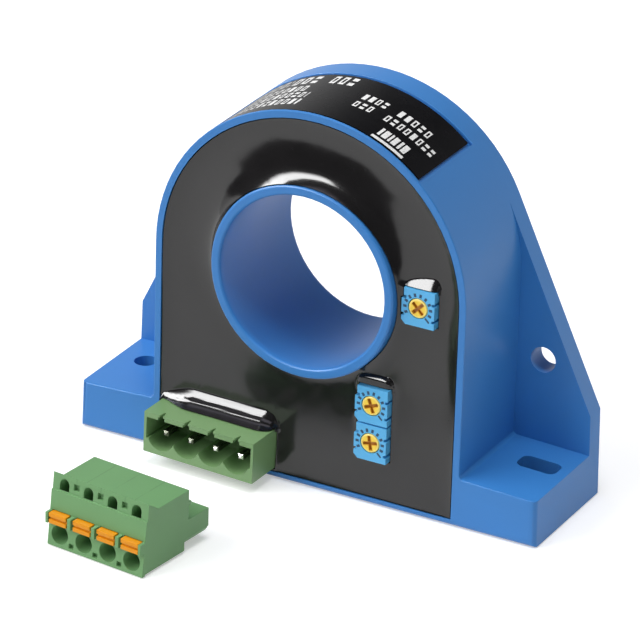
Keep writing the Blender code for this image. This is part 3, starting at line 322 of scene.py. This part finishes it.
def trimmer_finish(number):
    """Light blue case with a ring of small marks and one longer line round the rotor."""
    x, z = TRIMMERS[number]
    finish = Finish(f"trimmer_case_{number}_blue")
    across = finish.x - x
    up = finish.z - z
    radius = (across * across + up * up).math("SQRT")
    angle = finish.value("ARCTAN2", across, up) * (180 / math.pi)
    cell = ((angle + 127.8) / 25.2).math("FRACT")
    wide = (cell - 0.5).abs() * 25.2 * math.pi / 180 * radius
    dots = (wide < 0.23) * radius.between(2.12, 2.76) * angle.between(-127.0, 124.0)
    turned_x = (across + up) * math.sqrt(0.5)
    turned_z = (up - across) * math.sqrt(0.5)
    line = turned_x.abs().math("LESS_THAN", 0.17) * turned_z.between(-3.1, -2.05)
    marks = dots.max(line) * (finish.y < TRIMMER_FACE + 0.05)
    drift = finish.noise(2.0, 2.0)
    grains = finish.noise(0.2, 2.0)
    base = finish.mix(drift, shade(TRIMMER_BLUE, 0.93), shade(TRIMMER_BLUE, 1.07))
    base = finish.mix(marks * 0.92, base, (0.004, 0.022, 0.070))
    bump = finish.bump(grains * 0.2 - marks, 0.04)
    return finish.paint(Base_Color=base, Roughness=0.34 + 0.08 * grains, Normal=bump)


def rotor_finish(number):
    """Yellow rotor: pale rim, and painted shade over the cross, wider than its slot, and deeper down in the
    slot.
    """
    x, z = TRIMMERS[number]
    turn = math.radians(TRIMMER_TURNS[number])
    finish = Finish(f"rotor_{number}_yellow")
    across = finish.x - x
    up = finish.z - z
    radius = (across * across + up * up).math("SQRT")
    first = (across * math.cos(turn) + up * math.sin(turn)).abs()
    second = (up * math.cos(turn) - across * math.sin(turn)).abs()
    # painted shade: the cross slot darkened out to about 0.8 mm wide, wider than the modelled slot
    cross = (0.44 - first.min(second)).ramp(0.0, 0.10) * (radius < 1.38)
    # painted shade, darker further down in the slot
    depth = (finish.y - TRIMMER_FACE).ramp(0.05, 0.40)
    drift = finish.noise(0.8, 2.0)
    base = finish.mix(drift, shade(YELLOW, 0.95), shade(YELLOW, 1.10))
    base = finish.mix(radius.ramp(1.30, 1.62) * 0.65, base, (1.0, 0.82, 0.30))
    base = finish.mix(cross * 0.85, base, (0.66, 0.30, 0.012))
    base = finish.mix(depth * cross, base, (0.50, 0.19, 0.010))
    return finish.paint(Base_Color=base, Roughness=0.34 + 0.1 * drift, Normal=finish.bump(drift, 0.01))


def metal_finish(name, colour, roughness):
    finish = Finish(name)
    drag = finish.noise(0.35, 2.0, 0.5, (1.0, 8.0, 1.0))
    base = finish.mix(drag, shade(colour, 0.9), colour)
    finish.paint(Metallic=1.0)
    return finish.paint(Base_Color=base, Roughness=roughness + 0.12 * drag, Normal=finish.bump(drag, 0.003))


def pin_finish():
    """Tinned header pins: painted highlight on the end face, painted shade along the shank."""
    finish = Finish("pin_tin")
    drag = finish.noise(0.35, 2.0, 0.5, (1.0, 8.0, 1.0))
    # painted highlight on the pin's end face, painted shade on the rest of the shank
    painted_tip_glint = (PIN_TIP + 0.10 - finish.y).ramp(0.0, 0.05)
    base = finish.mix(painted_tip_glint, (0.11, 0.12, 0.09), (0.90, 0.90, 0.86))
    base = finish.mix(drag * 0.3, base, (0.30, 0.30, 0.27))
    finish.paint(Metallic=1.0)
    return finish.paint(Base_Color=base, Roughness=0.22 + 0.12 * drag, Normal=finish.bump(drag, 0.003))


def board_finish():
    """Green solder mask with darker tracks showing through."""
    finish = Finish("board_mask")
    tracks = (finish.x / 1.27).math("FRACT").between(0.35, 0.6)
    fibres = finish.noise(0.5, 2.0)
    base = finish.mix(tracks * 0.5, (0.020, 0.120, 0.045), (0.035, 0.190, 0.070))
    return finish.paint(Base_Color=base, Roughness=0.32 + 0.1 * fibres, Normal=finish.bump(fibres, 0.01))


def rough_block(name, colour, roughness, size=0.5):
    """Pressed or sintered stock, such as the core, the chips and the capacitors."""
    finish = Finish(name)
    speckle = finish.noise(size, 4.0, 0.7)
    base = finish.mix(speckle, shade(colour, 0.75), shade(colour, 1.25))
    rough = roughness + 0.1 * speckle
    return finish.paint(Base_Color=base, Roughness=rough, Normal=finish.bump(speckle, 0.01))


def deselect():
    for item in bpy.context.view_layer.objects:
        item.select_set(False)


def activate(item):
    deselect()
    item.select_set(True)
    bpy.context.view_layer.objects.active = item


def apply_all(item):
    activate(item)
    for modifier in list(item.modifiers):
        bpy.ops.object.modifier_apply(modifier=modifier.name)


def copy_of(node, name):
    """A welded copy of a CAD node, its flat faces whole again."""
    piece = bpy.data.objects.new(name, frame["nodes"][node].data.copy())
    bpy.context.scene.collection.objects.link(piece)
    activate(piece)
    bpy.ops.mesh.customdata_custom_splitnormals_clear()
    bpy.ops.object.mode_set(mode="EDIT")
    bpy.ops.mesh.select_all(action="SELECT")
    bpy.ops.mesh.remove_doubles(threshold=0.000001)
    bpy.ops.mesh.dissolve_limited(angle_limit=math.radians(0.4))
    bpy.ops.object.mode_set(mode="OBJECT")
    return piece


def soften(piece, width):
    """Rounds a piece's sharp edges by up to width millimetres, less where short edges stop it."""
    bevel = piece.modifiers.new("edges", "BEVEL")
    bevel.width = width * MM
    bevel.segments = 2
    bevel.limit_method = "ANGLE"
    bevel.angle_limit = math.radians(EDGE_ANGLE)
    bevel.miter_outer = "MITER_ARC"
    apply_all(piece)


def soften_picked(piece, width, spared):
    """Cuts a piece into triangles and rounds its sharp edges but for the spared ones, as soften does."""
    activate(piece)
    bpy.ops.object.mode_set(mode="EDIT")
    bpy.ops.mesh.select_all(action="SELECT")
    bpy.ops.mesh.quads_convert_to_tris(quad_method="BEAUTY", ngon_method="BEAUTY")
    bpy.ops.mesh.select_mode(type="EDGE")
    bpy.ops.mesh.select_all(action="DESELECT")
    bpy.ops.mesh.edges_select_sharp(sharpness=math.radians(EDGE_ANGLE))
    bpy.ops.object.mode_set(mode="OBJECT")
    corners = piece.data.vertices
    for edge in piece.data.edges:
        if edge.select and spared([corners[i].co / MM for i in edge.vertices]):
            edge.select = False
    bpy.ops.object.mode_set(mode="EDIT")
    bpy.ops.mesh.bevel(offset_type="OFFSET", offset=width * MM, segments=2, affect="EDGES",
                       clamp_overlap=True, miter_outer="ARC")
    bpy.ops.object.mode_set(mode="OBJECT")


def by_lever_sill(ends):
    """The thin strips between the plug's wire entries and its lever channels."""
    return all(SILL_HEIGHTS[0] < p.z < SILL_HEIGHTS[1] and p.y < SILL_BACK for p in ends)


def on_foot(ends):
    """The top edges of the feet, at the front and at the ends."""
    on_top = all(abs(p.x) > BODY_RADIUS + 0.3 and FOOT_TOPS[0] < p.z < FOOT_TOPS[1] for p in ends)
    at_rim = all(p.y < FOOT_FRONT or abs(p.x) > FOOT_END for p in ends)
    return on_top and at_rim and abs(ends[0].z - ends[1].z) < 1.2


def on_recess(ends):
    """The back edge of the label's recess."""
    return all(math.hypot(p.x, p.z - BORE_Z) > BODY_RADIUS - NEAR and abs(p.y - RECESS_BACK) < NEAR
               and p.z > BORE_Z for p in ends)


def round_edges(piece, chosen, width):
    """Rounds the edges picked by their ends' places, width in millimetres."""
    activate(piece)
    bpy.ops.object.mode_set(mode="EDIT")
    bpy.ops.mesh.select_mode(type="EDGE")
    bpy.ops.mesh.select_all(action="DESELECT")
    bpy.ops.object.mode_set(mode="OBJECT")
    corners = piece.data.vertices
    for edge in piece.data.edges:
        edge.select = chosen([corners[i].co / MM for i in edge.vertices])
    bpy.ops.object.mode_set(mode="EDIT")
    bpy.ops.mesh.bevel(offset_type="OFFSET", offset=width * MM, segments=3, affect="EDGES",
                       clamp_overlap=True)
    bpy.ops.object.mode_set(mode="OBJECT")


def hand_over(piece, material, node, smooth=35.0):
    """Gives a piece its finish and puts it in its CAD node's place."""
    piece.data.materials.clear()
    piece.data.materials.append(material)
    activate(piece)
    bpy.ops.object.shade_smooth_by_angle(angle=math.radians(smooth))
    level = piece.modifiers.new("flat_faces_stay_flat", "WEIGHTED_NORMAL")
    level.keep_sharp = True
    bpy.ops.object.modifier_apply(modifier=level.name)
    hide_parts(node)
    for body, nodes in frame["record"]["behaviour"]["bodies"].items():
        if node in nodes:
            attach(piece, body)
    return piece


def repaint(node, material):
    item = frame["nodes"][node]
    if not item.material_slots:
        item.data.materials.append(material)
    for place in item.material_slots:
        place.material = material


def edge_distance(x, z):
    """Distance inside the cup's wall, for arrays of places on the resin's face."""
    over = z > BORE_Z
    round_part = INNER_RADIUS - np.hypot(x, z - BORE_Z)
    straight = np.minimum(INNER_RADIUS - np.abs(x), z - FLOOR_WALL)
    return np.where(over, round_part, straight)


def block_distance(x, z, low_x, high_x, low_z, high_z):
    """Distance outside an upright rectangle."""
    dx = np.maximum(np.maximum(low_x - x, x - high_x), 0.0)
    dz = np.maximum(np.maximum(low_z - z, z - high_z), 0.0)
    return np.hypot(dx, dz)


def creep(distance, rise, reach):
    """A concave climb up a wall: rise at the wall, dying out over reach."""
    return rise * np.exp(-np.maximum(distance, 0.0) / reach)


# Sections through the resin's beads: distance from the piece it climbs, and height over the flat face
HEADER_BEAD = ((0.0, 3.3), (0.2, 3.1), (0.42, 2.6), (0.67, 2.07), (0.93, 1.66), (1.40, 1.28), (1.52, 0.98),
               (2.1, 0.51), (2.7, 0.11), (2.86, 0.0))
TRIMMER_BEADS = {1: ((0.0, 1.38), (1.9, 0.12), (2.2, 0.0)),
                 2: ((0.0, 0.95), (1.3, 0.72), (1.75, 0.38), (2.0, 0.0))}


def easing(share):
    """0 at 0, 1 at 1, level at both ends."""
    share = np.clip(share, 0.0, 1.0)
    return share * share * (3.0 - 2.0 * share)


def section(distance, points):
    return np.interp(distance, [p[0] for p in points], [p[1] for p in points])


def resin_height(x, z):
    """How far the resin's face stands in front of its mean plane, in millimetres."""
    bore = np.hypot(x, z - BORE_Z) - TUBE_RADIUS - 0.1
    above = np.clip((z - BORE_Z) / TUBE_RADIUS, -1.0, 1.0)
    high = 0.5 + 0.5 * above
    height = (0.25 + 1.40 * high) * np.clip(1.0 - bore / (3.2 + 7.4 * high), 0.0, 1.0) ** 2
    height += creep(bore, 0.35 + 1.05 * high, 0.45 + 0.65 * high)
    wall = edge_distance(x, z)
    height += creep(wall, 0.22, 0.6) + 0.25 * np.clip(1.0 - wall / 4.0, 0.0, 1.0) ** 2

    along = (x - HEADER_MIDDLE) / HEADER_HALF
    rise = z - HEADER_TOP + math.tan(math.radians(HEADER_TILT)) * (x - HEADER_MIDDLE)
    size = (0.42 + 0.58 * easing((along + 1.04) / 0.60)) * easing((along + 1.07) / 0.07)
    size *= (1.0 - 0.35 * easing((along - 0.80) / 0.30)) * easing((1.09 - along) / 0.12) ** 0.5
    size = np.maximum(size, 0.001)
    low = np.clip((rise + 0.6) / 0.6, 0.0, 1.0)
    height = np.maximum(height, size * section(np.maximum(rise, 0.0) / size, HEADER_BEAD) * low ** 0.5)
    side = np.hypot(np.maximum(np.abs(x - HEADER_MIDDLE) - HEADER_HALF, 0.0), np.maximum(HEADER_LOW - z, 0.0))
    height += np.where(rise < 0.0, creep(side, 0.45, 0.4), 0.0)

    for number, (cx, cz) in TRIMMERS.items():
        case = block_distance(x, z, cx - 3.15, cx + 3.15, cz - 3.4, cz + 3.4)
        height += creep(case, 0.35, 0.35)
        if number in TRIMMER_BEADS:
            lens = np.sqrt(np.clip(1.0 - ((x - cx) / 3.5) ** 6, 0.0, 1.0)) + 0.001
            over = z - cz - 3.4
            pool = lens * section(np.maximum(over, 0.0) / lens, TRIMMER_BEADS[number])
            height = np.maximum(height, np.where(over > -0.6, pool, 0.0))
    height += 0.05 * np.sin(x * 0.31 + 0.7) * np.sin(z * 0.27 + 1.9)
    return height


def is_beaded(place):
    """True for places where the resin's face has a bead."""
    x = place[0] / MM
    z = place[2] / MM
    if abs(x - HEADER_MIDDLE) < HEADER_HALF + 1.8 and HEADER_TOP - 1.6 < z < HEADER_TOP + 3.6:
        return True
    return any(abs(x - cx) < 3.9 and 2.7 < z - cz < 5.9 for cx, cz in (TRIMMERS[n] for n in TRIMMER_BEADS))


def make_resin():
    """The resin with a fine front face that creeps up everything it wets."""
    solid = copy_of("potting_resin", "resin_source")
    bpy.ops.object.select_all(action="DESELECT")
    front = RESIN_FACE + 0.01
    back = 20.0
    bpy.ops.mesh.primitive_cube_add(size=1.0, location=(0.0, (front + back) / 2 * MM, 34.0 * MM))
    slab = bpy.context.active_object
    slab.name = "resin_face"
    slab.scale = (62.0 * MM, (back - front) * MM, 72.0 * MM)
    bpy.ops.object.transform_apply(location=True, rotation=True, scale=True)
    bpy.ops.object.mode_set(mode="EDIT")
    bpy.ops.mesh.select_mode(type="FACE")
    bpy.ops.mesh.select_all(action="DESELECT")
    bpy.ops.object.mode_set(mode="OBJECT")
    for face in slab.data.polygons:
        face.select = face.normal.y < -0.9
    bpy.ops.object.mode_set(mode="EDIT")
    bpy.ops.mesh.subdivide(number_cuts=210)
    bpy.ops.mesh.select_all(action="DESELECT")
    bpy.ops.object.mode_set(mode="OBJECT")
    for face in slab.data.polygons:
        face.select = face.normal.y < -0.9 and is_beaded(face.center)
    bpy.ops.object.mode_set(mode="EDIT")
    bpy.ops.mesh.subdivide(number_cuts=3)
    bpy.ops.object.mode_set(mode="OBJECT")
    meet = slab.modifiers.new("meet", "BOOLEAN")
    meet.operation = "INTERSECT"
    meet.solver = "EXACT"
    meet.object = solid
    apply_all(slab)
    bpy.data.objects.remove(solid, do_unlink=True)
    count = len(slab.data.vertices)
    places = np.empty(count * 3, dtype=np.float32)
    slab.data.vertices.foreach_get("co", places)
    places = places.reshape(count, 3)
    face = np.abs(places[:, 1] / MM - front) < 0.004
    x = places[face, 0] / MM
    z = places[face, 2] / MM
    places[face, 1] = (RESIN_FACE - resin_height(x, z)) * MM
    slab.data.vertices.foreach_set("co", places.ravel())
    slab.data.update()
    slab.name = "resin_fill"
    return hand_over(slab, resin_finish(), "potting_resin", 50.0)


def dress():
    blue = housing_finish()
    green_header = moulded("header_green", GREEN_HEADER, 0.42)
    green_plug = plug_finish()
    orange = moulded("lever_orange", ORANGE, 0.34, 0.3, 0.003, specular=0.25)
    tin = metal_finish("tin_plate", TIN, 0.16)
    steel = metal_finish("spring_strip", (0.70, 0.70, 0.72), 0.22)
    black = rough_block("chip_epoxy", (0.020, 0.020, 0.022), 0.45)
    tan = rough_block("fired_ceramic", (0.45, 0.27, 0.14), 0.5)
    core = rough_block("core_strip", (0.10, 0.10, 0.105), 0.5)

    housing = copy_of("housing", "housing_shell")
    round_edges(housing, on_foot, 0.25)
    round_edges(housing, on_recess, 0.15)
    hand_over(housing, blue, "housing", 32.0)
    make_resin()
    label = copy_of("rating_label", "label_strip")
    hand_over(label, label_finish(), "rating_label")
    header = copy_of("header_housing", "header_shell")
    soften(header, 0.10)
    hand_over(header, green_header, "header_housing")
    plug = copy_of("plug_housing", "plug_shell")
    soften_picked(plug, 0.08, by_lever_sill)
    hand_over(plug, green_plug, "plug_housing")
    for number in TRIMMERS:
        case = copy_of(f"trimmer_case_{number}", f"trimmer_shell_{number}")
        soften(case, 0.10)
        hand_over(case, trimmer_finish(number), f"trimmer_case_{number}")
        turner = copy_of(f"trimmer_rotor_{number}", f"trimmer_turner_{number}")
        hand_over(turner, rotor_finish(number), f"trimmer_rotor_{number}")
    for number in range(1, 5):
        lever = copy_of(f"plug_lever_{number}", f"lever_shell_{number}")
        soften(lever, 0.12)
        hand_over(lever, orange, f"plug_lever_{number}")
    finishes = {"header_pin": pin_finish(), "plug_contact": tin, "hall_lead": tin, "trimmer_pin": tin,
                "plug_spring": steel, "magnetic_core": core, "circuit_board": board_finish(),
                "filter_capacitor": tan}
    for node, item in frame["nodes"].items():
        if item.hide_render:
            continue
        chosen = [finish for start, finish in finishes.items() if node.startswith(start)]
        repaint(node, chosen[0] if chosen else black)


def backdrop_finish():
    """Pale floor: shaded as paper, and as bright as the background where it is looked at."""
    finish = Finish("studio_paper")
    rays = finish.node("ShaderNodeLightPath")
    seen = Term(finish, rays.outputs["Is Camera Ray"]).max(Term(finish, rays.outputs["Is Glossy Ray"]))
    seen = seen.max(Term(finish, rays.outputs["Is Transmission Ray"]))
    paper = finish.noise(3.0, 2.0)
    base = finish.mix(paper, (0.80, 0.80, 0.80), (0.82, 0.82, 0.82))
    finish.paint(Base_Color=base, Roughness=0.9)
    glow = finish.node("ShaderNodeEmission", {}, {"Color": (1.0, 1.0, 1.0), "Strength": 0.38})
    both = finish.node("ShaderNodeAddShader", {}, [finish.shader.outputs[0], glow.outputs[0]])
    mix = finish.node("ShaderNodeMixShader", {}, [seen, finish.shader.outputs[0], both.outputs[0]])
    output = [n for n in finish.tree.nodes if n.type == "OUTPUT_MATERIAL"][0]
    finish.feed(output.inputs["Surface"], mix.outputs[0])
    return finish.material


def show_in_shine_only(item):
    """Hides a studio piece from all but the rays that mirror it."""
    item.visible_camera = False
    item.visible_diffuse = False
    item.visible_transmission = False
    item.visible_shadow = False


def dark_tent():
    """A dim hood over the table, which only shiny surfaces show."""
    bpy.ops.object.select_all(action="DESELECT")
    bpy.ops.mesh.primitive_uv_sphere_add(segments=32, ring_count=16, radius=2.6, location=(0.0, 0.0, 0.0))
    tent = bpy.context.active_object
    tent.name = "dark_tent"
    bpy.ops.object.mode_set(mode="EDIT")
    bpy.ops.mesh.select_all(action="SELECT")
    bpy.ops.mesh.bisect(plane_co=(0.0, 0.0, 0.26), plane_no=(0.0, 0.403, -0.915), clear_outer=True)
    bpy.ops.object.mode_set(mode="OBJECT")
    cloth = Finish("tent_cloth")
    weave = cloth.noise(20.0, 2.0)
    cap = cloth.z.ramp(2200.0, 2400.0)
    cloth.paint(Base_Color=cloth.mix(weave, (0.004, 0.004, 0.004), (0.007, 0.007, 0.007)), Roughness=0.9)
    cloth.paint(Emission_Color=cloth.mix(cap, (0.0, 0.0, 0.0), (1.25, 1.18, 1.40)), Emission_Strength=1.0)
    tent.data.materials.append(cloth.material)
    show_in_shine_only(tent)


def area_light(name, place, aim, size, power):
    lamp = bpy.data.lights.new(name, "AREA")
    lamp.shape = "RECTANGLE"
    lamp.size, lamp.size_y = size
    lamp.energy = power
    item = bpy.data.objects.new(name, lamp)
    item.location = place
    item.rotation_euler = (Vector(aim) - Vector(place)).to_track_quat("-Z", "Y").to_euler()
    bpy.context.scene.collection.objects.link(item)
    return item


def glossy_sheet(name, place, aim, size, material):
    """A flat sheet that only shiny surfaces show."""
    bpy.ops.object.select_all(action="DESELECT")
    bpy.ops.mesh.primitive_plane_add(size=1.0, location=(0.0, 0.0, 0.0))
    sheet = bpy.context.active_object
    sheet.name = name
    turn = (Vector(aim) - Vector(place)).to_track_quat("-Z", "Y").to_matrix().to_4x4()
    sheet.matrix_world = Matrix.Translation(place) @ turn @ Matrix.Diagonal((size[0], size[1], 1.0, 1.0))
    sheet.data.materials.append(material)
    show_in_shine_only(sheet)


def strip_card():
    """The wide soft strip whose mirror image lies on the resin's beads."""
    cloth = Finish("strip_cloth")
    weave = cloth.noise(60.0, 2.0)
    white = cloth.mix(weave, (0.92, 0.92, 0.92), (1.0, 1.0, 1.0))
    faded = cloth.mix(cloth.y.ramp(-500.0, -120.0), (0.10, 0.10, 0.10), white)
    glow = cloth.node("ShaderNodeEmission", {}, {"Color": faded, "Strength": 22.0})
    output = [n for n in cloth.tree.nodes if n.type == "OUTPUT_MATERIAL"][0]
    cloth.feed(output.inputs["Surface"], glow.outputs[0])
    glossy_sheet("strip_card", (-0.84, -0.50, 0.78), AIM, (1.9, 0.42), cloth.material)


def dark_flag():
    """A black flag right of the camera's line, mirrored by what leans to the right."""
    cloth = Finish("flag_cloth")
    weave = cloth.noise(10.0, 2.0)
    cloth.paint(Base_Color=cloth.mix(weave, (0.004, 0.004, 0.004), (0.008, 0.008, 0.008)), Roughness=0.9)
    glossy_sheet("dark_flag", (0.14, -0.22, 0.12), (0.0, 0.0, 0.12), (0.26, 0.26), cloth.material)


def studio():
    scene = bpy.context.scene
    scene.view_settings.view_transform = "Standard"
    bpy.ops.object.select_all(action="DESELECT")
    bpy.ops.mesh.primitive_plane_add(size=0.52, location=(0.0, 0.0, -0.0002))
    floor = bpy.context.active_object
    floor.name = "studio_floor"
    floor.data.materials.append(backdrop_finish())
    world = bpy.data.worlds.new("studio_world")
    world.use_nodes = True
    tree = world.node_tree
    rays = tree.nodes.new("ShaderNodeLightPath")
    seen = tree.nodes.new("ShaderNodeMath")
    seen.operation = "MAXIMUM"
    tree.links.new(rays.outputs["Is Camera Ray"], seen.inputs[0])
    tree.links.new(rays.outputs["Is Glossy Ray"], seen.inputs[1])
    glass = tree.nodes.new("ShaderNodeMath")
    glass.operation = "MAXIMUM"
    tree.links.new(seen.outputs[0], glass.inputs[0])
    tree.links.new(rays.outputs["Is Transmission Ray"], glass.inputs[1])
    strength = tree.nodes.new("ShaderNodeMath")
    strength.operation = "MULTIPLY_ADD"
    tree.links.new(glass.outputs[0], strength.inputs[0])
    strength.inputs[1].default_value = 0.73
    strength.inputs[2].default_value = 0.27
    shader = tree.nodes["Background"]
    shader.inputs["Color"].default_value = (1.0, 1.0, 1.0, 1.0)
    tree.links.new(strength.outputs[0], shader.inputs["Strength"])
    scene.world = world
    dark_tent()
    key = area_light("key_light", (-0.75, -0.62, 0.78), AIM, (1.1, 0.42), 11.0)
    key.visible_glossy = False
    area_light("fill_light", (1.1, -0.45, 0.35), AIM, (0.5, 0.5), 0.3)
    top = area_light("top_light", (0.10, -0.20, 1.35), AIM, (0.6, 0.6), 9.5)
    top.visible_glossy = False
    strip_card()
    dark_flag()


def camera():
    lens = bpy.data.cameras.new("photo_camera")
    lens.sensor_width = 36.0
    lens.lens = 281.9
    lens.clip_start = 0.01
    item = bpy.data.objects.new("photo_camera", lens)
    bpy.context.scene.collection.objects.link(item)
    azimuth, elevation, roll = [math.radians(a) for a in (27.896, -25.161, 1.706)]
    ahead = Vector((-math.sin(azimuth) * math.cos(elevation), math.cos(azimuth) * math.cos(elevation),
                    math.sin(elevation)))
    right = ahead.cross(Vector((0.0, 0.0, 1.0))).normalized()
    up = right.cross(ahead)
    across = right * math.cos(roll) + up * math.sin(roll)
    over = -right * math.sin(roll) + up * math.cos(roll)
    turn = Matrix((across, over, -ahead)).transposed().to_4x4()
    item.matrix_world = Matrix.Translation((0.36501, -0.69728, 0.39643)) @ turn
    bpy.context.scene.camera = item


dress()
studio()
camera()
